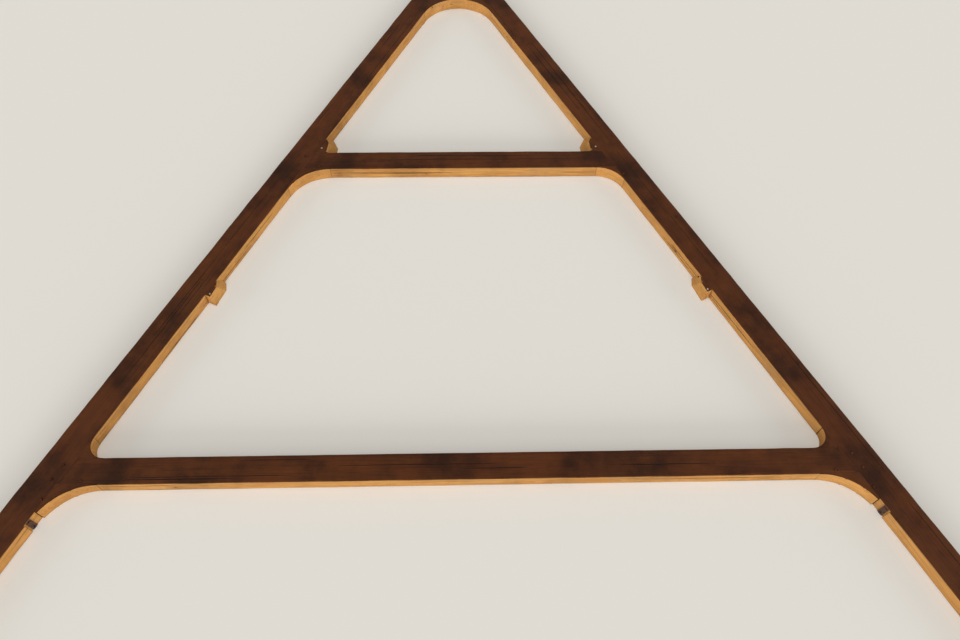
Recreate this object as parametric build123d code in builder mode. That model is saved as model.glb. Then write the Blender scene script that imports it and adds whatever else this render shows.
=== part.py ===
from build123d import *
from math import cos, radians, sin, sqrt, tan
import os

os.makedirs("parts", exist_ok=True)

# Heavy timber A-frame roof truss with two collars, curved knees under the collars and a
# curved knee in the apex. It lies on its back face: X runs across the span, Y runs from
# the feet to the apex and Z is the thickness. The origin is at the centre of the back face.

# Whole frame
overall_height = 17070
roof_pitch = 64.3
truss_thickness = 230
rafter_depth = 440

# Collars, with heights above the feet
lower_collar_soffit = 4860
lower_collar_depth = 395
upper_collar_soffit = 10465
upper_collar_depth = 400

# Curved knees and fillets
lower_knee_radius = 830
upper_knee_radius_left = 740
upper_knee_radius_right = 490
lower_knee_foot_reach = 395
ridge_knee_radius = 740
fillet_radius = 200
knee_housing = 30
fillet_housing = 12

# Blind tenons on the collars
tenon_thickness = 76
tenon_length = 280
tenon_shoulder = 60

# Stub tongues on the backs of the knees
tongue_thickness = 60
tongue_depth = 70
tongue_start = 130
tongue_toe_margin = 60
ridge_tongue_start = 640

# Bridle joint at the apex
bridle_thickness = 78

# Oak pegs, cleft to eight sides
peg_diameter = 32
peg_sides = 8
peg_stand_out = 9
peg_setback = 2
peg_chamfer = 4
collar_peg_inset = 95

# Iron strap let into each rafter below the foot of the lower knee
strap_recess_length = 205
strap_recess_depth = 24
strap_width = 80
strap_thickness = 10
strap_reach = 140
strap_end_inset = 3
bolt_edge_distance = 34
bolt_shank = 20
bolt_head_across = 34
bolt_head_height = 12
bolt_length = 170

# Fits
joint_clearance = 0.5
peg_clearance = 0.3

half_angle = radians(90 - roof_pitch)
inner_apex = overall_height - rafter_depth / sin(half_angle)
foot_y = -overall_height / 2
lower_collar_top = lower_collar_soffit + lower_collar_depth
upper_collar_top = upper_collar_soffit + upper_collar_depth
LEFT = -1
RIGHT = 1


def spot(across, height):
    """Point in the plan of the lying frame, from a distance across and a height."""
    return Vector(across, foot_y + height)


def inner_x(height):
    return (inner_apex - height) * tan(half_angle)


def outer_x(height):
    return (overall_height - height) * tan(half_angle)


def rafter_down(side):
    return Vector(side * sin(half_angle), -cos(half_angle))


def rafter_outward(side):
    return Vector(side * cos(half_angle), sin(half_angle))


def plate(points, thickness, mode=Mode.ADD):
    """Flat plate from an outline, centred in the thickness of the truss."""
    base = (truss_thickness - thickness) / 2
    with BuildSketch(Plane.XY.offset(base)) as outline:
        with BuildLine():
            Polyline(*points, close=True)
        make_face()
    extrude(outline.sketch, amount=thickness, mode=mode)


class Corner:
    """Inside corner between two members, along and away from which a knee reaches."""

    def __init__(self, point, along, away, radius, reach=None):
        self.point = point
        self.along = along
        self.away = away
        self.radius = radius
        half_opening = radians(along.get_angle(away)) / 2
        self.tangent = radius / tan(half_opening)
        self.reach = self.tangent if reach is None else reach
        middle = (along + away).normalized()
        self.crown = point + middle * (radius / sin(half_opening) - radius)
        self.back = middle * (-1 / sin(half_opening))
        self.along_normal = (along * along.dot(away) - away).normalized()
        self.away_normal = (away * along.dot(away) - along).normalized()

    def foot(self):
        """End of the curve on the second member, cut square at its reach."""
        run = self.tangent - self.reach
        rise = self.radius - sqrt(self.radius**2 - run**2)
        return self.point + self.away * self.reach - self.away_normal * rise

    def tongue(self, direction, normal, housing, start, end, clearance):
        """Outline of the tongue on the back of the knee, or of its mortise."""
        low = start - clearance
        high = end + clearance
        deep = housing + tongue_depth + clearance
        root = self.point + normal * (housing - clearance)
        tip = self.point + normal * deep
        return [root + direction * low, root + direction * high, tip + direction * high, tip + direction * low]


def knee_block(corner, housing, mode=Mode.ADD):
    """Curved block that fills a corner and is let into both members."""
    start = corner.point + corner.along * corner.tangent
    end = corner.foot()
    foot_root = corner.point + corner.away * corner.reach + corner.away_normal * housing
    back = corner.point + corner.back * housing
    start_root = start + corner.along_normal * housing
    with BuildSketch(Plane.XY) as outline:
        with BuildLine():
            ThreePointArc(start, corner.crown, end)
            Polyline(end, foot_root, back, start_root, start)
        make_face()
    extrude(outline.sketch, amount=truss_thickness, mode=mode)


def tongues(corner, housing, start):
    """The two tongues of a knee as outline makers, each with the member that it enters."""
    along_end = corner.tangent - tongue_toe_margin
    away_end = corner.reach - tongue_toe_margin
    return [
        (corner.along, corner.along_normal, housing, start, along_end),
        (corner.away, corner.away_normal, housing, start, away_end),
    ]


def tongue_centre(corner, tongue):
    direction, normal, housing, start, end = tongue
    return corner.point + direction * ((start + end) / 2) + normal * (housing + tongue_depth / 2)


def peg_hole(centre):
    with Locations((centre.X, centre.Y, truss_thickness)):
        Hole(peg_diameter / 2 + peg_clearance)


def collar_tenon(side, soffit, top, clearance):
    """Outline of a collar's tenon, or of its mortise, at one rafter."""
    low = soffit + tenon_shoulder - clearance
    high = top - tenon_shoulder + clearance
    reach = tenon_length + clearance
    return [
        spot(side * (inner_x(low) - clearance), low),
        spot(side * (inner_x(low) + reach), low),
        spot(side * (inner_x(high) + reach), high),
        spot(side * (inner_x(high) - clearance), high),
    ]


def collar_pegs(side, soffit, top):
    """Centres of the two pegs through a tenon."""
    heights = [soffit + collar_peg_inset, top - collar_peg_inset]
    return [spot(side * (inner_x(height) + tenon_length / 2), height) for height in heights]


def under_collar(side, soffit, radius, reach=None):
    return Corner(spot(side * inner_x(soffit), soffit), Vector(-side, 0), rafter_down(side), radius, reach)


def above_collar(side, top, radius):
    return Corner(spot(side * inner_x(top), top), Vector(-side, 0), rafter_down(side) * -1, radius)


lower_knees = {
    LEFT: under_collar(LEFT, lower_collar_soffit, lower_knee_radius, lower_knee_foot_reach),
    RIGHT: under_collar(RIGHT, lower_collar_soffit, lower_knee_radius, lower_knee_foot_reach),
}
upper_knees = {
    LEFT: under_collar(LEFT, upper_collar_soffit, upper_knee_radius_left),
    RIGHT: under_collar(RIGHT, upper_collar_soffit, upper_knee_radius_right),
}
fillets = {
    LEFT: above_collar(LEFT, lower_collar_top, fillet_radius),
    RIGHT: above_collar(RIGHT, lower_collar_top, fillet_radius),
}
ridge_corner = Corner(spot(0, inner_apex), rafter_down(LEFT), rafter_down(RIGHT), ridge_knee_radius)

bridle_reach = (overall_height - inner_apex) / 2
bridle_tip = spot(bridle_reach * tan(half_angle), inner_apex + bridle_reach)
apex_peg = spot(bridle_tip.X / 3, inner_apex + bridle_reach)


def knee_pegs(corner, start):
    return [tongue_centre(corner, tongue) for tongue in tongues(corner, knee_housing, start)]


def strap_plane(side):
    """Plane on the floor of the strap's recess, with Z out of the rafter."""
    corner = lower_knees[side]
    outward = corner.away_normal
    centre = corner.point + corner.away * (corner.reach + strap_reach) + outward * strap_recess_depth
    origin = Vector(centre.X, centre.Y, truss_thickness / 2)
    return Plane(origin=origin, x_dir=corner.away, z_dir=outward * -1)


def bolt_places():
    offset = truss_thickness / 2 - bolt_edge_distance
    return [(0, -offset), (0, offset)]


def rafter(side):
    """Principal rafter, with its level foot, apex bridle, mortises, housings and recess."""
    foot_to_apex = [
        spot(side * outer_x(0), 0),
        spot(side * inner_x(0), 0),
        spot(0, inner_apex),
        spot(0, overall_height),
    ]
    with BuildPart() as member:
        plate(foot_to_apex, truss_thickness)
        if side == LEFT:
            plate([spot(0, inner_apex), bridle_tip, spot(0, overall_height)], bridle_thickness)
        else:
            slack = joint_clearance / sin(half_angle)
            slot_tip = bridle_tip + (bridle_tip - spot(0, inner_apex)) - Vector(0, slack)
            slot = [spot(0, inner_apex - slack), slot_tip, spot(0, overall_height + slack)]
            plate(slot, bridle_thickness + 2 * joint_clearance, Mode.SUBTRACT)
        knee_block(ridge_corner, knee_housing, Mode.SUBTRACT)
        ridge_tongue = tongues(ridge_corner, knee_housing, ridge_tongue_start)[0 if side == LEFT else 1]
        mortise = tongue_thickness + 2 * joint_clearance
        plate(ridge_corner.tongue(*ridge_tongue, joint_clearance), mortise, Mode.SUBTRACT)
        for knee in (lower_knees[side], upper_knees[side]):
            knee_block(knee, knee_housing, Mode.SUBTRACT)
            rafter_tongue = tongues(knee, knee_housing, tongue_start)[1]
            plate(knee.tongue(*rafter_tongue, joint_clearance), mortise, Mode.SUBTRACT)
            peg_hole(tongue_centre(knee, rafter_tongue))
        knee_block(fillets[side], fillet_housing, Mode.SUBTRACT)
        for soffit, top in collar_levels:
            slot = collar_tenon(side, soffit, top, joint_clearance)
            plate(slot, tenon_thickness + 2 * joint_clearance, Mode.SUBTRACT)
            for centre in collar_pegs(side, soffit, top):
                peg_hole(centre)
        peg_hole(tongue_centre(ridge_corner, ridge_tongue))
        peg_hole(apex_peg)
        recess_shift = strap_recess_length / 2 - strap_reach
        with BuildSketch(strap_plane(side)):
            with Locations((recess_shift, 0)):
                Rectangle(strap_recess_length, truss_thickness)
        extrude(amount=strap_recess_depth * 2, mode=Mode.SUBTRACT)
        with BuildSketch(strap_plane(side)):
            with Locations(*bolt_places()):
                Circle(bolt_shank / 2 + peg_clearance)
        extrude(amount=-(bolt_length - strap_thickness + joint_clearance), mode=Mode.SUBTRACT)
    return member.part


def collar(soffit, top, knees, corner_fillets):
    """Collar beam with a tenon at each end and housings for the knees."""
    outline = [
        spot(-inner_x(soffit), soffit),
        spot(inner_x(soffit), soffit),
        spot(inner_x(top), top),
        spot(-inner_x(top), top),
    ]
    with BuildPart() as member:
        plate(outline, truss_thickness)
        for side in (LEFT, RIGHT):
            plate(collar_tenon(side, soffit, top, 0), tenon_thickness)
            knee_block(knees[side], knee_housing, Mode.SUBTRACT)
            collar_tongue = tongues(knees[side], knee_housing, tongue_start)[0]
            mortise = knees[side].tongue(*collar_tongue, joint_clearance)
            plate(mortise, tongue_thickness + 2 * joint_clearance, Mode.SUBTRACT)
            peg_hole(tongue_centre(knees[side], collar_tongue))
            for centre in collar_pegs(side, soffit, top):
                peg_hole(centre)
            if corner_fillets:
                knee_block(corner_fillets[side], fillet_housing, Mode.SUBTRACT)
    return member.part


def knee(corner, start):
    """Curved knee with a tongue into each member."""
    with BuildPart() as block:
        knee_block(corner, knee_housing)
        for tongue in tongues(corner, knee_housing, start):
            plate(corner.tongue(*tongue, 0), tongue_thickness)
            peg_hole(tongue_centre(corner, tongue))
    return block.part


def fillet_piece(corner):
    with BuildPart() as block:
        knee_block(corner, fillet_housing)
    return block.part


def strap(side):
    """Iron strap across the soffit, on the floor of its recess."""
    with BuildPart() as band:
        with BuildSketch(strap_plane(side)):
            Rectangle(strap_width, truss_thickness - 2 * strap_end_inset)
            with Locations(*bolt_places()):
                Circle(bolt_shank / 2 + peg_clearance, mode=Mode.SUBTRACT)
        extrude(amount=strap_thickness)
    return band.part


def bolt(side, place):
    """Square-headed bolt through the strap into the rafter."""
    seat = strap_plane(side).offset(strap_thickness)
    with BuildPart() as fastener:
        with BuildSketch(seat):
            with Locations(place):
                Rectangle(bolt_head_across, bolt_head_across)
        extrude(amount=bolt_head_height)
        with BuildSketch(seat):
            with Locations(place):
                Circle(bolt_shank / 2)
        extrude(amount=-bolt_length + joint_clearance)
    return fastener.part


def peg(centre):
    """Oak peg, flush at the back and standing a little out of the front."""
    length = truss_thickness + peg_stand_out - peg_setback
    with BuildPart() as pin:
        with BuildSketch(Plane.XY.offset(peg_setback)):
            with Locations((centre.X, centre.Y)):
                RegularPolygon(peg_diameter / 2, peg_sides)
        extrude(amount=length)
        chamfer(pin.edges().group_by(Axis.Z)[-1], peg_chamfer)
    return pin.part


collar_levels = [
    (lower_collar_soffit, lower_collar_top),
    (upper_collar_soffit, upper_collar_top),
]

pieces = {
    "lower_collar": collar(lower_collar_soffit, lower_collar_top, lower_knees, fillets),
    "upper_collar": collar(upper_collar_soffit, upper_collar_top, upper_knees, None),
    "ridge_knee": knee(ridge_corner, ridge_tongue_start),
    "apex_peg": peg(apex_peg),
}
for side, hand in ((LEFT, "left"), (RIGHT, "right")):
    pieces[f"rafter_{hand}"] = rafter(side)
    pieces[f"lower_knee_{hand}"] = knee(lower_knees[side], tongue_start)
    pieces[f"upper_knee_{hand}"] = knee(upper_knees[side], tongue_start)
    pieces[f"corner_fillet_{hand}"] = fillet_piece(fillets[side])
    pieces[f"strap_{hand}"] = strap(side)
    for end, place in zip(("back", "front"), bolt_places()):
        pieces[f"strap_bolt_{hand}_{end}"] = bolt(side, place)
    for level, (soffit, top) in zip(("lower", "upper"), collar_levels):
        for row, centre in zip(("bottom", "top"), collar_pegs(side, soffit, top)):
            pieces[f"{level}_collar_peg_{hand}_{row}"] = peg(centre)
    for level, knees in (("lower", lower_knees), ("upper", upper_knees)):
        for member, centre in zip(("collar", "rafter"), knee_pegs(knees[side], tongue_start)):
            pieces[f"{level}_knee_peg_{hand}_{member}"] = peg(centre)
for hand, centre in zip(("left", "right"), knee_pegs(ridge_corner, ridge_tongue_start)):
    pieces[f"ridge_knee_peg_{hand}"] = peg(centre)

for name, piece in pieces.items():
    piece.label = name
    export_step(piece, f"parts/{name}.step")
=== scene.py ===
import math
import random
import bmesh
import bpy
from mathutils import Matrix, Vector


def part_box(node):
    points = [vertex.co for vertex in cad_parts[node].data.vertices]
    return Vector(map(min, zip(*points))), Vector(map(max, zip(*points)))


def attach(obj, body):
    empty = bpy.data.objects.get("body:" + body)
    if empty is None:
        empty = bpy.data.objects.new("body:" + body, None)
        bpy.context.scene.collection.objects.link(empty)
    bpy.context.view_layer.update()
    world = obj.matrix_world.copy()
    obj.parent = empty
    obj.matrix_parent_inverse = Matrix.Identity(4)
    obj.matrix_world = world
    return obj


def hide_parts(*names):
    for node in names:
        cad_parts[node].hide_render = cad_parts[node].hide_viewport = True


print("loading the frame")
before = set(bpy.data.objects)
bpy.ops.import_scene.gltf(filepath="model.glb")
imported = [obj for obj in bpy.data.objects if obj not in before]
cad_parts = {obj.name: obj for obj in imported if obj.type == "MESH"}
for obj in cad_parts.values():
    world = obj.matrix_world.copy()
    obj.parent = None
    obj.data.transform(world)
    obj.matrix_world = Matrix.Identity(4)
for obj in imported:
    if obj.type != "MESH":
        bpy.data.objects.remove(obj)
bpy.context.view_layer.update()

# The truss lies on its back: X across the span, Y from the feet to the apex, Z out of the front face
truss = {
    "pitch": 64.3,  # of the rafters, in degrees
    "rafterDepth": 0.44,
    "footY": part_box("rafter_left")[0].y,
    "height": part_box("rafter_left")[1].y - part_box("rafter_left")[0].y,
    "thickness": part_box("lower_collar")[1].z,
    "filletToe": 0.286,  # height of the corner fillets' upper ends above the lower collar
    "recess": 0.024,  # depth of the soffit recess under each strap
}
halfAngle = math.radians(90 - truss["pitch"])
innerApex = truss["height"] - truss["rafterDepth"] / math.sin(halfAngle)
halfThickness = truss["thickness"] / 2
sides = {"left": -1, "right": 1}
rightward = Vector((1, 0, 0))
apexward = Vector((0, 1, 0))
frontward = Vector((0, 0, 1))


def innerX(height):  # half the clear width between the rafters
    return (innerApex - height) * math.tan(halfAngle)


def spot(across, height):  # a point in the middle of the thickness, from its height above the feet
    return Vector((across, truss["footY"] + height, halfThickness))


def rafterUp(side):
    return Vector((-side * math.sin(halfAngle), math.cos(halfAngle), 0))


def rafterOut(side):
    return Vector((side * math.cos(halfAngle), math.sin(halfAngle), 0))


# General tools
touch = 0.001  # a vertex nearer to a face than this lies on it
cleaning = {
    "merge": 0.00005,
    "flat": 0.4,  # degrees between faces that become one
    "sharp": 25,  # degrees from which an arris is eased
    "shortEdge": 0.008,  # a shorter one would leave a ragged point when it is eased
    "smooth": 32,  # degrees up to which the shading runs on
}


def makeActive(piece):
    bpy.ops.object.select_all(action="DESELECT")
    piece.select_set(True)
    bpy.context.view_layer.objects.active = piece


def startEdit(piece):
    makeActive(piece)
    bpy.ops.object.mode_set(mode="EDIT")
    bpy.ops.mesh.select_all(action="SELECT")


def endEdit():
    bpy.ops.object.mode_set(mode="OBJECT")


def smoothShade(piece, degrees=cleaning["smooth"]):
    makeActive(piece)
    bpy.ops.object.shade_smooth_by_angle(angle=math.radians(degrees))


def facing(x, y, z):  # a turn whose axes point in the three directions
    return Matrix((x, y, z)).transposed().to_4x4()


def copyNode(nodeName, pieceName):  # a merged copy of a CAD node, with its flat faces joined
    piece = bpy.data.objects.new(pieceName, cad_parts[nodeName].data.copy())
    bpy.context.collection.objects.link(piece)
    piece.data.materials.clear()
    startEdit(piece)
    bpy.ops.mesh.customdata_custom_splitnormals_clear()
    bpy.ops.mesh.remove_doubles(threshold=cleaning["merge"])
    bpy.ops.mesh.dissolve_limited(angle_limit=math.radians(cleaning["flat"]))
    endEdit()
    return piece


def slicePiece(origin, normal, places):  # adds an edge loop at each place along the normal
    for place in places:
        bpy.ops.mesh.select_all(action="SELECT")
        bpy.ops.mesh.bisect(plane_co=origin + normal * place, plane_no=normal)


def evenPlaces(start, stop, step):
    count = max(2, round((stop - start) / step))
    return [start + (stop - start) * i / count for i in range(1, count)]


def faceLoops(half):  # loops across a face, with one beside each arris
    inner = half - surface["arrisBand"]
    return [-inner, *evenPlaces(-inner, inner, surface["faceStep"]), inner]


def setGroup(piece, name, chosen):  # chosen is a list of vertex numbers
    piece.vertex_groups.new(name=name).add(chosen, 1.0, "REPLACE")


def groupAll(piece):
    setGroup(piece, "all", [vertex.index for vertex in piece.data.vertices])


def setMark(piece, name, chosen):  # an attribute that is 1 on the chosen vertices, for the material
    values = [0.0] * len(piece.data.vertices)
    for number in chosen:
        values[number] = 1.0
    piece.data.attributes.new(name, "FLOAT", "POINT").data.foreach_set("value", values)


def easeArrises(piece, width):  # blunts every outer edge, so that joints show as fine lines
    startEdit(piece)
    bpy.ops.mesh.select_mode(type="EDGE")
    bpy.ops.mesh.select_all(action="DESELECT")
    mesh = bmesh.from_edit_mesh(piece.data)
    for edge in mesh.edges:
        if len(edge.link_faces) == 2 and edge.calc_face_angle_signed() > math.radians(cleaning["sharp"]):
            if all(face.material_index == 0 for face in edge.link_faces):  # not the edges of the cracks
                edge.select_set(True)
    bmesh.update_edit_mesh(piece.data)
    bpy.ops.mesh.bevel(offset=width, segments=1, affect="EDGES", clamp_overlap=False)
    bpy.ops.mesh.select_mode(type="VERT")
    endEdit()


def grainGuide(origin, along, stretch):  # an empty that turns and stretches a relief along the grain
    guide = bpy.data.objects.new("grainGuide", None)
    bpy.context.collection.objects.link(guide)
    turn = Matrix.Rotation(math.atan2(along.y, along.x), 4, "Z")
    guide.matrix_world = Matrix.Translation(origin) @ turn @ Matrix.Diagonal((stretch, 1, 1, 1))
    bpy.context.view_layer.update()
    return guide


def pushIn(piece, name, size, strength, group, guide):  # a relief that only ever goes into the wood
    texture = bpy.data.textures.new(name, "CLOUDS")
    texture.noise_scale = size
    texture.noise_depth = 2
    push = piece.modifiers.new(name, "DISPLACE")
    push.texture = texture
    push.texture_coords = "OBJECT"
    push.texture_coords_object = guide
    push.vertex_group = group
    push.strength = strength
    push.mid_level = 1.0
    makeActive(piece)
    bpy.ops.object.modifier_apply(modifier=name)


def wearSkin(piece, guide, arrisDepth, isOutside):
    # wears the arrises and hews the skin, then puts back each vertex that came outwards
    before = [vertex.co.copy() for vertex in piece.data.vertices]
    pushIn(piece, "arrisWear", surface["arrisSize"], arrisDepth, "arris", guide)
    pushIn(piece, "hewn", surface["hewnSize"], surface["hewnDepth"], "skin", guide)
    bpy.data.objects.remove(guide)
    for vertex, start in zip(piece.data.vertices, before):
        if isOutside(vertex.co):
            vertex.co = start
    smoothShade(piece)


def dressPiece(piece, nodeName, material):
    piece.data.materials.append(material)
    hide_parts(nodeName)
    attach(piece, "root")


# Materials


def linear(hexColour):  # sRGB hex to the linear values that Blender takes
    channels = [int(hexColour[i:i + 2], 16) / 255 for i in (1, 3, 5)]
    return [*((c / 12.92 if c <= 0.04045 else ((c + 0.055) / 1.055) ** 2.4) for c in channels), 1.0]


def addNode(tree, kind, inputs=None, **settings):  # an input's value is a number, a colour or a socket
    made = tree.nodes.new(kind)
    for key, value in settings.items():
        setattr(made, key, value)
    for key, value in (inputs or {}).items():
        if isinstance(value, bpy.types.NodeSocket):
            tree.links.new(value, made.inputs[key])
        else:
            made.inputs[key].default_value = value
    return made


def startMaterial(name):
    material = bpy.data.materials.new(name)
    material.use_nodes = True
    tree = material.node_tree
    return material, tree, tree.nodes["Principled BSDF"]


def calc(tree, operation, *values):
    return addNode(tree, "ShaderNodeMath", dict(enumerate(values)), operation=operation).outputs[0]


def blend(tree, factor, low, high, mode="MIX"):
    inputs = {0: factor, 6: low, 7: high}
    return addNode(tree, "ShaderNodeMix", inputs, data_type="RGBA", blend_type=mode).outputs[2]


def noise(tree, vector, scale, detail, rough=0.5):
    inputs = {"Vector": vector, "Scale": scale, "Detail": detail, "Roughness": rough}
    return addNode(tree, "ShaderNodeTexNoise", inputs).outputs[0]


def remap(tree, value, ends, results=(0.0, 1.0)):
    inputs = {"Value": value, "From Min": ends[0], "From Max": ends[1]}
    inputs.update({"To Min": results[0], "To Max": results[1]})
    return addNode(tree, "ShaderNodeMapRange", inputs).outputs[0]


def addBump(tree, shader, height, strength, distance):
    bump = addNode(tree, "ShaderNodeBump", {"Height": height, "Strength": strength, "Distance": distance})
    tree.links.new(bump.outputs[0], shader.inputs["Normal"])


# Old sawn and hewn softwood, matt: the soffits are golden, with growth rings round a wandering
# pith, small dark knots and fine shakes. Every other face is darkened by a brown painted shade.
timber = {
    "early": "#C08747",
    "late": "#8A5520",
    "gold": "#D59D56",
    "dark": "#5A3514",
    "knot": "#2F190A",
    "worn": "#C79A60",
    "dust": "#8C745A",
    "paintedShade": "#80604A",  # painted shade, multiplied over the wood's own colour on every face but the soffit
    # the painted shade where it is deepest
    "paintedShadeDeep": "#584236",
    "shift": (3.7, 1.3, 2.1),  # moves the grain's noise from one timber to the next
    "grainRough": 0.55,
    "ringSpacing": 0.018,  # real rings are 3 to 6 mm, too fine to show
    "ringSharpness": 2.2,
    "pithReach": (0.22, 0.16),  # across and through the timber
    "knotSpacing": 0.34,
    "knotSqueeze": (0.62, 1.0, 1.0),
    "knotless": 0.45,  # share of the places that stay without a knot
    "knotCore": (0.085, 0.045),  # distances at which the core starts and is full
    "knotHalo": (0.30, 0.05),
    "knotBend": 0.035,
    "mottle": (1.6, 5.0, 0.6),  # scale, detail and roughness of its noise
    "checks": (0.335, 0.27),  # each pair of this kind holds the ends that a noise is spread between
    # ends of the mottle across which the painted shade deepens
    "paintedShadeEnds": (0.38, 0.66),
    "wornPatch": (0.36, 0.66),
    "roughness": (-1.2, 0.9),  # of the mottle, which gives about 0.7 to 0.9
    "specular": 0.28,
    "lateShare": 0.62,
    "haloShare": 0.45,
    "warmShare": 0.30,
    "coreShare": 0.85,
    "checkShare": 0.75,
    "wornShare": 0.50,
    "fineRelief": 0.5,
    "lateRelief": 0.35,
    "checkRelief": -1.2,
    "knotRelief": 0.5,
    "bump": (0.55, 0.004),  # strength and distance
}

# Noise drawn out along the grain: its cells along, across and through the timber, scale and detail
grainNoise = {
    "pithAcross": ((0.5, 0.2, 0.2), 1.0, 3.0),
    "pithThrough": ((0.4, 0.25, 0.2), 1.3, 3.0),
    "wide": ((0.35, 5.0, 5.0), 1.0, 4.0),
    "fine": ((1.2, 34.0, 34.0), 1.0, 3.0),
    "hair": ((2.5, 120.0, 120.0), 1.0, 2.0),
    "stain": ((0.8, 1.6, 1.6), 1.0, 4.0),
    "checks": ((0.9, 52.0, 52.0), 1.0, 2.0),
    "patches": ((1.5, 9.0, 9.0), 1.0, 3.0),
}

# Colours laid over the rings: the noise that places each, its ends, its share, its colour and the way
grainLayers = (
    ("wide", (0.35, 0.70), 1.0, "gold", "MIX"),
    ("fine", (0.50, 0.72), 0.60, "late", "MIX"),
    ("hair", (0.52, 0.75), 0.35, "dark", "MIX"),
    ("mottle", (0.50, 0.75), 0.55, "dark", "MULTIPLY"),
    ("stain", (0.56, 0.74), 0.30, "dust", "MIX"),
)


def timberMaterial(name, origin, along, seed, warmth=0.5):
    material, tree, shader = startMaterial(name)
    coords = addNode(tree, "ShaderNodeTexCoord").outputs["Object"]
    turned = {"Vector": coords, "Location": origin, "Rotation": (0, 0, math.atan2(along.y, along.x))}
    grain = addNode(tree, "ShaderNodeMapping", turned, vector_type="TEXTURE").outputs[0]

    def squeezed(squeeze):
        shift = tuple(seed * part for part in timber["shift"])
        inputs = {"Vector": grain, "Scale": squeeze, "Location": shift}
        return addNode(tree, "ShaderNodeMapping", inputs).outputs[0]

    def cover(base, place, share, over, mode="MIX"):  # lays a colour over the base
        return blend(tree, calc(tree, "MULTIPLY", place, share), base, linear(timber[over]), mode)

    noises = {"mottle": noise(tree, grain, *timber["mottle"])}
    for kind, (squeeze, scale, detail) in grainNoise.items():
        noises[kind] = noise(tree, squeezed(squeeze), scale, detail, timber["grainRough"])
    checks = remap(tree, noises["checks"], timber["checks"])

    # knots: dark ovals that bend the rings round them
    cells = {"Vector": squeezed(timber["knotSqueeze"]), "Scale": 1 / timber["knotSpacing"]}
    voronoi = addNode(tree, "ShaderNodeTexVoronoi", cells)
    chance = addNode(tree, "ShaderNodeSeparateColor", {0: voronoi.outputs["Color"]}).outputs[0]
    there = calc(tree, "GREATER_THAN", chance, timber["knotless"])
    toKnot = voronoi.outputs["Distance"]
    knotCore = calc(tree, "MULTIPLY", remap(tree, toKnot, timber["knotCore"]), there)
    knotHalo = calc(tree, "MULTIPLY", remap(tree, toKnot, timber["knotHalo"]), there)

    # growth rings round the pith
    split = addNode(tree, "ShaderNodeSeparateXYZ", {0: grain})
    squares = []
    for axis, kind, reach in zip((1, 2), ("pithAcross", "pithThrough"), timber["pithReach"]):
        wander = calc(tree, "MULTIPLY_ADD", noises[kind], reach, -reach / 2)
        fromPith = calc(tree, "ADD", split.outputs[axis], wander)
        squares.append(calc(tree, "MULTIPLY", fromPith, fromPith))
    radius = calc(tree, "SQRT", calc(tree, "ADD", *squares))
    bent = calc(tree, "MULTIPLY_ADD", knotHalo, timber["knotBend"], radius)
    ring = calc(tree, "FRACT", calc(tree, "DIVIDE", bent, timber["ringSpacing"]))
    lateWood = calc(tree, "POWER", ring, timber["ringSharpness"])

    colour = cover(linear(timber["early"]), lateWood, timber["lateShare"], "late")
    for kind, ends, share, over, mode in grainLayers:
        colour = cover(colour, remap(tree, noises[kind], ends), share, over, mode)
    colour = cover(colour, knotHalo, timber["haloShare"], "late")
    colour = blend(tree, warmth * timber["warmShare"], colour, linear(timber["gold"]))

    # painted shade: every face but the soffit is multiplied darker, as if in shadow, deeper in some places
    unshaded = addNode(tree, "ShaderNodeAttribute", attribute_name="soffit").outputs["Fac"]
    shadedFaces = calc(tree, "SUBTRACT", 1.0, unshaded)
    deeperShade = remap(tree, noises["mottle"], timber["paintedShadeEnds"])
    paintedShade = blend(tree, deeperShade, linear(timber["paintedShade"]), linear(timber["paintedShadeDeep"]))
    colour = blend(tree, shadedFaces, colour, paintedShade, "MULTIPLY")
    colour = cover(colour, knotCore, timber["coreShare"], "knot")
    colour = cover(colour, checks, timber["checkShare"], "knot")
    wearPlace = addNode(tree, "ShaderNodeAttribute", attribute_name="wear").outputs["Fac"]
    patchy = remap(tree, noises["patches"], timber["wornPatch"])
    colour = cover(colour, calc(tree, "MULTIPLY", wearPlace, patchy), timber["wornShare"], "worn")

    relief = calc(tree, "MULTIPLY", lateWood, timber["lateRelief"])
    relief = calc(tree, "MULTIPLY_ADD", noises["fine"], timber["fineRelief"], relief)
    relief = calc(tree, "MULTIPLY_ADD", checks, timber["checkRelief"], relief)
    relief = calc(tree, "MULTIPLY_ADD", knotCore, timber["knotRelief"], relief)
    addBump(tree, shader, relief, *timber["bump"])
    tree.links.new(colour, shader.inputs["Base Color"])
    tree.links.new(remap(tree, noises["mottle"], timber["roughness"]), shader.inputs["Roughness"])
    shader.inputs["Specular IOR Level"].default_value = timber["specular"]
    return material


# Wrought iron, black from the forge once, now dull with brown rust and dust
ironFinish = {
    "scale": "#3F2E28",
    "rust": "#6A452F",
    "dusty": "#6B5648",
    "bright": "#D8CABB",
    "rustNoise": (22.0, 6.0),  # scale and detail
    "rustEnds": (0.42, 0.68),
    "pitNoise": (150.0, 3.0),
    "pitEnds": (0.5, 0.9),
    "roughness": (0.48, 0.85),
    "metallic": 0.55,
    "bump": (0.5, 0.002),
}


def ironMaterial(name, base="scale"):  # the nail heads are worn bright
    material, tree, shader = startMaterial(name)
    coords = addNode(tree, "ShaderNodeTexCoord").outputs["Object"]
    rusty = remap(tree, noise(tree, coords, *ironFinish["rustNoise"]), ironFinish["rustEnds"])
    pits = noise(tree, coords, *ironFinish["pitNoise"])
    dirty = remap(tree, pits, ironFinish["pitEnds"])
    colour = blend(tree, rusty, linear(ironFinish[base]), linear(ironFinish["rust"]))
    colour = blend(tree, dirty, colour, linear(ironFinish["dusty"]))
    tree.links.new(colour, shader.inputs["Base Color"])
    rough = remap(tree, rusty, (0.0, 1.0), ironFinish["roughness"])
    tree.links.new(rough, shader.inputs["Roughness"])
    addBump(tree, shader, pits, *ironFinish["bump"])
    shader.inputs["Metallic"].default_value = ironFinish["metallic"]
    return material


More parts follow.
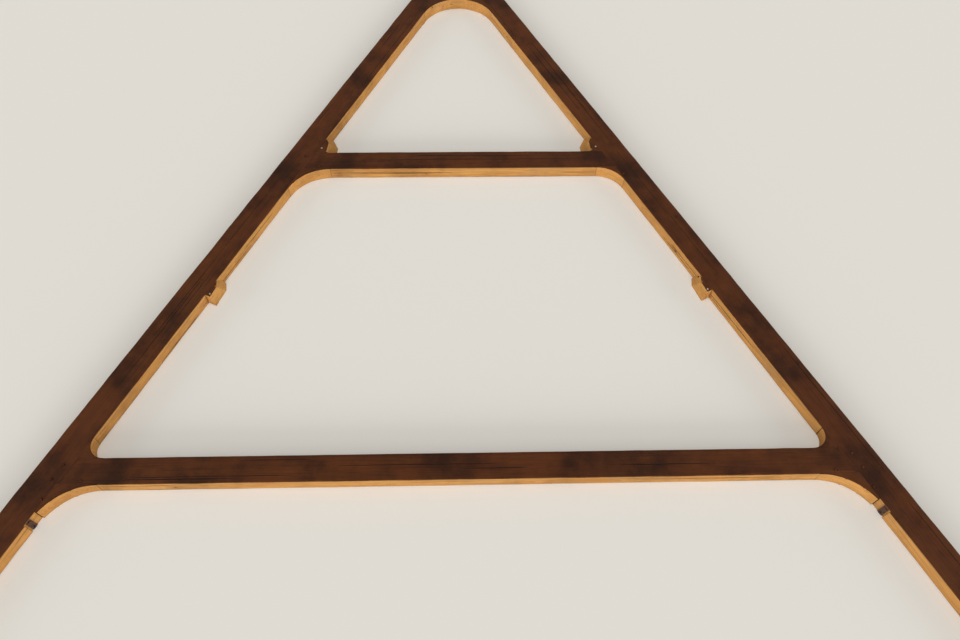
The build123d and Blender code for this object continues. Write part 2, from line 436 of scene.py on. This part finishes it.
# Straight timbers: a copy of the CAD timber, sliced along and across so that its skin can move
surface = {
    "loopStep": 0.055,  # along the grain
    "quickStep": 0.15,
    "overrun": 0.35,  # of the loops past both ends, which can be cut on the skew
    "faceStep": 0.032,  # across the grain
    "arrisBand": 0.016,
    "easing": 0.004,
    "nearArris": 0.006,
    "hewnDepth": 0.005,
    "hewnSize": 0.16,
    "arrisDepth": 0.010,
    "arrisSize": 0.11,
    "stretch": 3.0,
    "seedStep": 5,  # metres between the reliefs of two seeds
}

crack = {
    "length": (0.5, 2.4),
    "width": (0.0020, 0.0042),
    "depth": 0.022,
    "fromEnd": 0.4,
    "spread": 0.65,  # share of the way from a face's middle to its arris
    "rings": 14,
    "segments": 6,
    "onRafter": 22,
    "onCollar": 14,
    # the shakes' insides: dark old wood, with painted shade
    "deep": "#1C1008",
    "pale": "#3A2412",
    "noise": (9.0, 4.0),
    "roughness": 0.9,
}


def crackCutter(origin, along, across, length, halfDepth, count, seed):
    # long thin lenses, set where they cut shakes into the four faces
    draw = random.Random(seed)
    faces = [(frontward, halfThickness, across, halfDepth)] * 3
    faces += [(-frontward, halfThickness, across, halfDepth)]
    faces += [(across, halfDepth, frontward, halfThickness)] * 2
    faces += [(-across, halfDepth, frontward, halfThickness)] * 2
    cutter = None
    for number in range(count):
        out, reach, sideways, room = faces[number % len(faces)]
        half = draw.uniform(*crack["length"]) / 2
        place = origin + along * draw.uniform(half + crack["fromEnd"], length - half - crack["fromEnd"])
        place += out * reach + sideways * draw.uniform(-crack["spread"], crack["spread"]) * room
        scale = Matrix.Diagonal((half, draw.uniform(*crack["width"]), crack["depth"], 1))
        pole = Matrix.Rotation(math.pi / 2, 4, "Y")
        bpy.ops.object.select_all(action="DESELECT")
        sphere = {"segments": crack["segments"], "ring_count": crack["rings"], "radius": 1}
        bpy.ops.mesh.primitive_uv_sphere_add(**sphere)
        lens = bpy.context.active_object
        lens.data.transform(Matrix.Translation(place) @ facing(along, sideways, out) @ scale @ pole)
        if cutter is None:
            cutter = lens
        else:
            cutter.select_set(True)
            bpy.context.view_layer.objects.active = cutter
            bpy.ops.object.join()
    startEdit(cutter)
    bpy.ops.mesh.normals_make_consistent(inside=False)
    endEdit()
    return cutter


def cutCracks(piece, cutter, material):
    cutter.data.materials.append(material)
    cut = piece.modifiers.new("cracks", "BOOLEAN")
    cut.operation = "DIFFERENCE"
    cut.solver = "MANIFOLD"  # the exact solver returns nothing here
    cut.material_mode = "TRANSFER"
    cut.object = cutter
    makeActive(piece)
    bpy.ops.object.modifier_apply(modifier="cracks")
    bpy.data.objects.remove(cutter)


def weatherTimber(piece, origin, along, across, halfDepth, length, seed, cracks, covered):
    # across points away from the soffit, and covered lists the parts of it that lie under other timbers,
    # which keep the painted shade
    overrun = surface["overrun"]
    startEdit(piece)
    slicePiece(origin, along, evenPlaces(-overrun, length + overrun, surface["loopStep"]))
    slicePiece(origin, across, faceLoops(halfDepth))
    slicePiece(origin, frontward, faceLoops(halfThickness))
    endEdit()
    cutCracks(piece, crackCutter(origin, along, across, length, halfDepth, cracks, seed), crackWoodAndShade)
    easeArrises(piece, surface["easing"])
    skin, arris, soffit = [], [], []
    for vertex in piece.data.vertices:
        fromMiddle = vertex.co - origin
        toEdge = halfDepth - abs(fromMiddle.dot(across))
        toFace = halfThickness - abs(fromMiddle.z)
        if min(toEdge, toFace) < touch:
            skin.append(vertex.index)
        onSoffit = fromMiddle.dot(across) < 0
        reach = fromMiddle.dot(along)
        if onSoffit and any(start < reach < stop for start, stop in covered):
            continue
        if max(toEdge, toFace) < surface["nearArris"]:
            arris.append(vertex.index)
        # the soffit mark keeps these vertices out of the painted shade
        if onSoffit and (toEdge < touch or abs(toEdge - truss["recess"]) < touch):
            soffit.append(vertex.index)
    setGroup(piece, "skin", skin)
    setGroup(piece, "arris", arris)
    setMark(piece, "wear", arris)
    setMark(piece, "soffit", soffit)

    def isOutside(point):  # the rim of a shake can turn and come outwards
        fromMiddle = point - origin
        return abs(fromMiddle.dot(across)) > halfDepth or abs(fromMiddle.z) > halfThickness

    guide = grainGuide(origin + frontward * seed * surface["seedStep"], along, surface["stretch"])
    wearSkin(piece, guide, surface["arrisDepth"], isOutside)


def dryCrack():  # the inside of a drying shake: dark old wood, partly painted shade so that thin shakes read as dark lines
    material, tree, shader = startMaterial("shakeWoodAndPaintedShade")
    coords = addNode(tree, "ShaderNodeTexCoord").outputs["Object"]
    dark = noise(tree, coords, *crack["noise"])
    colour = blend(tree, dark, linear(crack["deep"]), linear(crack["pale"]))
    tree.links.new(colour, shader.inputs["Base Color"])
    shader.inputs["Roughness"].default_value = crack["roughness"]
    return material


crackWoodAndShade = dryCrack()

# Wedges above the upper collar and cleats on the rafter soffits: hewn blocks with a skew inner face
# Each point is inward, up and through the thickness, from the block's own corner
blocks = {
    "wedge": {
        "height": 10.865,  # of the upper collar's top, above the feet
        "rise": 0.52,
        "seat": 0.29,  # height of the rafter's soffit that its front covers
        "innerFace": ((0.175, 0.0, 0.23), (0.200, 0.22, 0.23), (0.295, 0.0, 0.0)),
        "topFace": ((0.200, 0.22, 0.23), (0.15, 0.33, 0.23), (0.235, 0.50, 0.0)),
        "unshadedFrom": 0.01,  # its underside lies on the collar and keeps the painted shade
        "nail": (0.085, 0.10),
    },
    "cleat": {
        "height": 7.89,
        "rise": 0.42,
        "seat": 0.26,
        "innerFace": ((0.085, 0.0, 0.23), (0.065, 0.20, 0.23), (0.135, 0.0, 0.0)),
        "topFace": ((0.065, 0.20, 0.23), (0.0, 0.30, 0.23), (0.045, 0.40, 0.0)),
        "unshadedFrom": -1,  # below it all, so only the front face keeps the painted shade
        "nail": (0.050, 0.045),
    },
}
blockSkin = {
    "reach": 0.36,
    "behind": 0.30,
    "inside": (0.04, 0.06, 0.1),  # a point within both kinds
    "step": 0.03,
    "easing": 0.003,
    "relief": 0.004,
    "size": 0.12,
    "stretch": 2.0,
    "guideAt": 3,  # metres in front of the corner
    "seeds": {"left": 3, "right": 7},
    "warmth": 1.0,
}
nail = {
    "sides": 8,
    "head": 0.015,
    "proud": 0.007,
    "neck": 0.001,
    "shank": 0.06,
    "point": 0.0035,
    "slope": 0.45,  # share of the head's radius that rises to its flat top
    "dome": 0.0015,
    "smooth": 30,
}


def makeBlock(kind, hand, corner, inward, up):
    size = blocks[kind]
    toWorld = Matrix.Translation(corner) @ facing(inward, up, frontward)
    low = Vector((-blockSkin["behind"], 0, 0))
    high = Vector((blockSkin["reach"], size["rise"], truss["thickness"]))
    bpy.ops.object.select_all(action="DESELECT")
    bpy.ops.mesh.primitive_cube_add(size=1)
    block = bpy.context.active_object
    block.name = kind + "." + hand
    stretch = Matrix.Diagonal((*(high - low), 1))
    block.data.transform(toWorld @ Matrix.Translation((low + high) / 2) @ stretch)
    inside = toWorld @ Vector(blockSkin["inside"])
    planes = [(corner, rafterOut(sides[hand]))]
    for face in (size["innerFace"], size["topFace"]):
        first, second, third = (toWorld @ Vector(point) for point in face)
        normal = (second - first).cross(third - first).normalized()
        planes.append((first, normal if (inside - first).dot(normal) < 0 else -normal))
    startEdit(block)
    bpy.ops.mesh.normals_make_consistent(inside=False)
    for point, normal in planes:
        bpy.ops.mesh.select_all(action="SELECT")
        bpy.ops.mesh.bisect(plane_co=point, plane_no=normal, use_fill=True, clear_outer=True)
    slicePiece(corner, up, evenPlaces(0, size["rise"], blockSkin["step"]))
    slicePiece(corner, inward, evenPlaces(0, blockSkin["reach"], blockSkin["step"]))
    slicePiece(corner, frontward, evenPlaces(0, truss["thickness"], blockSkin["step"]))
    bpy.ops.mesh.select_all(action="SELECT")
    bpy.ops.mesh.remove_doubles(threshold=cleaning["shortEdge"])
    bpy.ops.mesh.normals_make_consistent(inside=False)
    endEdit()
    easeArrises(block, blockSkin["easing"])
    groupAll(block)
    # the vertices left out of the painted shade: all but those on the front face and those below the set
    # height
    unshaded = []
    for vertex in block.data.vertices:
        offFront = vertex.co.z < truss["thickness"] - touch
        if offFront and (vertex.co - corner).dot(up) > size["unshadedFrom"]:
            unshaded.append(vertex.index)
    setMark(block, "soffit", unshaded)
    guide = grainGuide(corner + frontward * blockSkin["guideAt"], up, blockSkin["stretch"])
    pushIn(block, "hewn", blockSkin["size"], blockSkin["relief"], "all", guide)
    bpy.data.objects.remove(guide)
    smoothShade(block)
    finishName = "splitBlock." + kind + "." + hand
    finish = timberMaterial(finishName, corner, up, blockSkin["seeds"][hand], blockSkin["warmth"])
    block.data.materials.append(finish)
    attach(block, "root")
    return toWorld @ Vector((*size["nail"], truss["thickness"] - blockSkin["relief"]))


def makeNail(name, place, material):  # an octagonal forged head over a shank that is driven in
    bpy.ops.object.select_all(action="DESELECT")
    depth = nail["proud"] + nail["shank"]
    middle = place + Vector((0, 0, nail["proud"] - depth / 2))
    rod = {"vertices": nail["sides"], "radius": nail["head"], "depth": depth, "location": middle}
    bpy.ops.mesh.primitive_cylinder_add(**rod)
    piece = bpy.context.active_object
    piece.name = name
    bpy.ops.object.transform_apply(location=True, rotation=True, scale=True)
    startEdit(piece)
    bpy.ops.mesh.bisect(plane_co=place - Vector((0, 0, nail["neck"])), plane_no=(0, 0, 1))
    endEdit()
    for vertex in piece.data.vertices:  # draws the shank down to a point below the head
        if vertex.co.z < place.z - 2 * nail["neck"]:
            vertex.co.xy = place.xy + (vertex.co.xy - place.xy) * (nail["point"] / nail["head"])
    startEdit(piece)
    bpy.ops.mesh.select_mode(type="FACE")
    bpy.ops.mesh.select_all(action="DESELECT")
    mesh = bmesh.from_edit_mesh(piece.data)
    for face in mesh.faces:  # the top alone
        face.select_set(face.normal.z > 0.9 and face.calc_center_median().z > place.z)
    bmesh.update_edit_mesh(piece.data)
    bpy.ops.mesh.inset(thickness=nail["head"] * nail["slope"])
    bpy.ops.transform.translate(value=(0, 0, nail["dome"]))
    bpy.ops.mesh.select_mode(type="VERT")
    endEdit()
    smoothShade(piece, nail["smooth"])
    piece.data.materials.append(material)
    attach(piece, "root")


print("wedges, cleats and nails")
nailIron = ironMaterial("wornNailHead", "bright")
for hand, side in sides.items():
    for kind, block in blocks.items():
        corner = spot(side * innerX(block["height"]), block["height"])
        corner.z = 0
        ways = {
            "wedge": (rightward * -side, apexward),  # it stands on the collar
            "cleat": (-rafterOut(side), rafterUp(side)),  # it lies along the rafter
        }
        makeNail("nail." + kind + "." + hand, makeBlock(kind, hand, corner, *ways[kind]), nailIron)

rafterLength = truss["height"] / math.cos(halfAngle)
for seed, (hand, side) in enumerate(sides.items(), 1):
    print("rafter", hand)
    halfDepth = truss["rafterDepth"] / 2
    origin = spot(side * (innerX(0) + halfDepth / math.cos(halfAngle)), 0)
    up, out = rafterUp(side), rafterOut(side)
    rafter = copyNode("rafter_" + hand, "rafter." + hand)
    finish = timberMaterial("hewnTimber." + hand, origin, up, seed)
    dressPiece(rafter, "rafter_" + hand, finish)
    soffitFoot = math.tan(halfAngle) * halfDepth  # the level foot is cut on the skew
    cleatFoot = truss["footY"] + blocks["cleat"]["height"]
    joints = [
        (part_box("lower_knee_" + hand)[0].y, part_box("lower_collar")[1].y + truss["filletToe"]),
        (cleatFoot, cleatFoot + blocks["cleat"]["seat"]),
        (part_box("upper_knee_" + hand)[0].y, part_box("upper_collar")[1].y + blocks["wedge"]["seat"]),
        (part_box("ridge_knee")[0].y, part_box("ridge_knee")[1].y),
    ]
    covered = [[soffitFoot + (y - truss["footY"]) / math.cos(halfAngle) for y in ends] for ends in joints]
    weatherTimber(rafter, origin, up, out, halfDepth, rafterLength, seed, crack["onRafter"], covered)

for seed, level in enumerate(("lower", "upper"), 3):
    print("collar", level)
    low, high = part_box(level + "_collar")
    origin = Vector((low.x, (low.y + high.y) / 2, halfThickness))
    length, halfDepth = high.x - low.x, (high.y - low.y) / 2
    collar = copyNode(level + "_collar", "collar." + level)
    finish = timberMaterial("hewnTimber." + level, origin, rightward, seed)
    dressPiece(collar, level + "_collar", finish)
    toes = (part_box(level + "_knee_left")[1].x - low.x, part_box(level + "_knee_right")[0].x - low.x)
    covered = [(-math.inf, toes[0]), (toes[1], math.inf)]
    weatherTimber(collar, origin, rightward, apexward, halfDepth, length, seed, crack["onCollar"], covered)

# Curved knees, cut from crooked timber: the grain runs from toe to toe. Each has its curve's radius.
knees = {
    "lower_knee_left": 0.830,
    "lower_knee_right": 0.830,
    "upper_knee_left": 0.740,
    "upper_knee_right": 0.490,
    "ridge_knee": 0.740,
    "corner_fillet_left": 0.200,
    "corner_fillet_right": 0.200,
}
kneeSkin = {
    "chordStep": 0.04,
    "middleStep": 0.05,
    "overrun": 0.1,
    "easing": 0.003,
    "wear": 0.004,
    "nearArc": 0.002,
    "stretch": 2.0,
    "warmth": 0.9,
}


def kneeCorner(name):  # the corner that a knee fills, and the ways along its two members
    side = -1 if name.endswith("left") else 1
    if name == "ridge_knee":
        return spot(0, innerApex), -rafterUp(-1), -rafterUp(1)
    level = "upper" if name.startswith("upper") else "lower"
    low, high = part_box(level + "_collar")
    above = name.startswith("corner")
    height = (high.y if above else low.y) - truss["footY"]
    return spot(side * innerX(height), height), rightward * -side, rafterUp(side) * (1 if above else -1)


def isOffKnee(point):
    return not 0 <= point.z <= truss["thickness"]


for seed, (name, radius) in enumerate(knees.items(), 5):
    print("knee", name)
    corner, along, away = kneeCorner(name)
    halfOpening = along.angle(away) / 2
    middle = (along + away).normalized()
    centre = corner + middle * (radius / math.sin(halfOpening))
    chord = (along - away).normalized()
    knee = copyNode(name, name.replace("_", "."))
    finish = timberMaterial("crookedTimber." + name, corner, chord, seed, kneeSkin["warmth"])
    dressPiece(knee, name, finish)
    startEdit(knee)
    reach = radius / math.tan(halfOpening) + kneeSkin["overrun"]
    slicePiece(corner, chord, evenPlaces(-reach, reach, kneeSkin["chordStep"]))
    slicePiece(corner, middle, evenPlaces(-kneeSkin["overrun"], reach, kneeSkin["middleStep"]))
    slicePiece(corner, frontward, faceLoops(halfThickness))
    bpy.ops.mesh.select_all(action="SELECT")
    bpy.ops.mesh.remove_doubles(threshold=cleaning["shortEdge"])
    endEdit()
    easeArrises(knee, kneeSkin["easing"])
    skin, arris, wear, soffit = [], [], [], []
    for vertex in knee.data.vertices:
        flat = Vector((vertex.co.x - centre.x, vertex.co.y - centre.y, 0))
        toArc = abs(flat.length - radius)
        toFace = halfThickness - abs(vertex.co.z - halfThickness)
        if toArc < kneeSkin["nearArc"] or toFace < touch:
            skin.append(vertex.index)
        if max(toArc, toFace) < surface["nearArris"]:
            arris.append(vertex.index)
            if touch < vertex.co.z < truss["thickness"] - touch:  # no saw teeth on the flat faces
                wear.append(vertex.index)
        # the curved soffit is kept out of the painted shade
        if toArc < kneeSkin["nearArc"] and toFace > touch:
            soffit.append(vertex.index)
    setGroup(knee, "skin", skin)
    setGroup(knee, "arris", arris)
    setMark(knee, "wear", wear)
    setMark(knee, "soffit", soffit)
    guide = grainGuide(corner + frontward * seed * surface["seedStep"], chord, kneeSkin["stretch"])
    wearSkin(knee, guide, kneeSkin["wear"], isOffKnee)

# Pegs stay as the CAD has them, in cleft oak
print("pegs and iron")
# the pegs carry no soffit mark, so the painted shade darkens them all over
pegFinish = timberMaterial("cleftOakPeg", Vector((0, 0, 0)), frontward, seed=14)
for name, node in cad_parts.items():
    if "peg" in name:
        node.data.materials.clear()
        node.data.materials.append(pegFinish)

# Straps and square-headed bolts, forged by hand: rounded edges and hammer marks
forged = {"edge": 0.002, "segments": 2, "angle": 40, "step": 0.012, "dent": 0.0015, "dentSize": 0.03}
strapIron = ironMaterial("forgedIron")
boltIron = ironMaterial("forgedIronBolt")
for name in [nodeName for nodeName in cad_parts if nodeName.startswith("strap")]:
    piece = copyNode(name, name.replace("_", "."))
    isBolt = "bolt" in name
    rounding = piece.modifiers.new("rounding", "BEVEL")
    rounding.width = forged["edge"]
    rounding.segments = forged["segments"]
    rounding.angle_limit = math.radians(forged["angle"])
    makeActive(piece)
    bpy.ops.object.modifier_apply(modifier="rounding")
    if not isBolt:
        low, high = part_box(name)
        startEdit(piece)
        slicePiece(low, frontward, evenPlaces(0, high.z - low.z, forged["step"]))
        slicePiece(low, apexward, evenPlaces(0, high.y - low.y, forged["step"]))
        endEdit()
    groupAll(piece)
    guide = grainGuide(Vector((0, 0, 0)), rightward, 1.0)
    pushIn(piece, "hammered", forged["dentSize"], forged["dent"], "all", guide)
    bpy.data.objects.remove(guide)
    smoothShade(piece, forged["angle"])
    dressPiece(piece, name, boltIron if isBolt else strapIron)

# Floor, light and camera
print("floor, light and camera")
studio = {
    "floorSize": 700,
    "floorDrop": 0.001,  # keeps the floor from sharing a plane with the truss's back
    "floorColour": "#E4E1DA",
    "floorRoughness": 0.9,
    "floorSpecular": 0.1,
    "floorGlow": 0.34,  # only for the camera and for gloss
    "backColour": "#FBF7F0",
    "backGlow": 0.47,  # over the world's strength, for the camera and for gloss
    "worldStrength": 0.30,
    "softness": 30,  # degrees across which each lamp shines
    "lampDistance": 20,
}

# Three broad lamps, low round the foot and the sides, light the soffits fully and graze the faces
lamps = {
    "fromTheFeet": {"from": (0, -1), "height": 13, "strength": 2.0},
    "fromTheRight": {"from": (1, -0.2), "height": 14, "strength": 1.15},
    "fromTheLeft": {"from": (-1, -0.2), "height": 14, "strength": 1.15},
}
for name, lamp in lamps.items():
    light = bpy.data.lights.new(name, "SUN")
    light.energy = lamp["strength"]
    light.angle = math.radians(studio["softness"])
    holder = bpy.data.objects.new(name, light)
    bpy.context.collection.objects.link(holder)
    flat = Vector((*lamp["from"], 0)).normalized()
    height = math.radians(lamp["height"])
    shine = flat * math.cos(height) + frontward * math.sin(height)
    holder.location = shine * studio["lampDistance"]
    holder.rotation_euler = (-shine).to_track_quat("-Z", "Y").to_euler()


def seenGlow(tree, strength, base):  # a strength for camera and gloss rays, over a base for all rays
    path = addNode(tree, "ShaderNodeLightPath")
    seen = calc(tree, "MAXIMUM", path.outputs["Is Camera Ray"], path.outputs["Is Glossy Ray"])
    return calc(tree, "MULTIPLY_ADD", seen, strength, base)


bpy.ops.object.select_all(action="DESELECT")
bpy.ops.mesh.primitive_plane_add(size=studio["floorSize"], location=(0, 0, -studio["floorDrop"]))
floor = bpy.context.active_object
floor.name = "studioFloor"
floorMaterial, tree, shader = startMaterial("paleFloorPaint")
shader.inputs["Base Color"].default_value = linear(studio["floorColour"])
shader.inputs["Roughness"].default_value = studio["floorRoughness"]
shader.inputs["Specular IOR Level"].default_value = studio["floorSpecular"]
shader.inputs["Emission Color"].default_value = linear(studio["floorColour"])
tree.links.new(seenGlow(tree, studio["floorGlow"], 0.0), shader.inputs["Emission Strength"])
floor.data.materials.append(floorMaterial)

world = bpy.data.worlds.new("studioWorld")
world.use_nodes = True
backdrop = world.node_tree.nodes["Background"]
backdrop.inputs["Color"].default_value = linear(studio["backColour"])
backGlow = seenGlow(world.node_tree, studio["backGlow"], studio["worldStrength"])
world.node_tree.links.new(backGlow, backdrop.inputs["Strength"])
bpy.context.scene.world = world
bpy.context.scene.view_settings.view_transform = "Standard"

# The camera looks as one does from the ground up at the standing truss, with the truss tipped on its back
viewpoint = {
    "lens": 28.81,
    "clipEnd": 1000,
    "pitch": 31.658,
    "roll": -1.385,
    "yaw": 1.462,
    "across": 0.0391,
    "height": 1.2625,  # above the feet
    "distance": 9.9236,  # from the front face
}
pitch, roll, yaw = (math.radians(viewpoint[turn]) for turn in ("pitch", "roll", "yaw"))
forward = Vector((math.sin(yaw) * math.cos(pitch), math.sin(pitch), -math.cos(yaw) * math.cos(pitch)))
horizon = Vector((math.cos(yaw), 0, math.sin(yaw)))
upright = horizon.cross(forward)
right = horizon * math.cos(roll) + upright * math.sin(roll)
top = right.cross(forward)
place = spot(viewpoint["across"], viewpoint["height"])
place.z = truss["thickness"] + viewpoint["distance"]
camera = bpy.data.objects.new("viewCamera", bpy.data.cameras.new("viewCamera"))
bpy.context.collection.objects.link(camera)
camera.data.lens = viewpoint["lens"]
camera.data.clip_end = viewpoint["clipEnd"]
camera.matrix_world = Matrix.Translation(place) @ facing(right, top, -forward)
bpy.context.scene.camera = camera
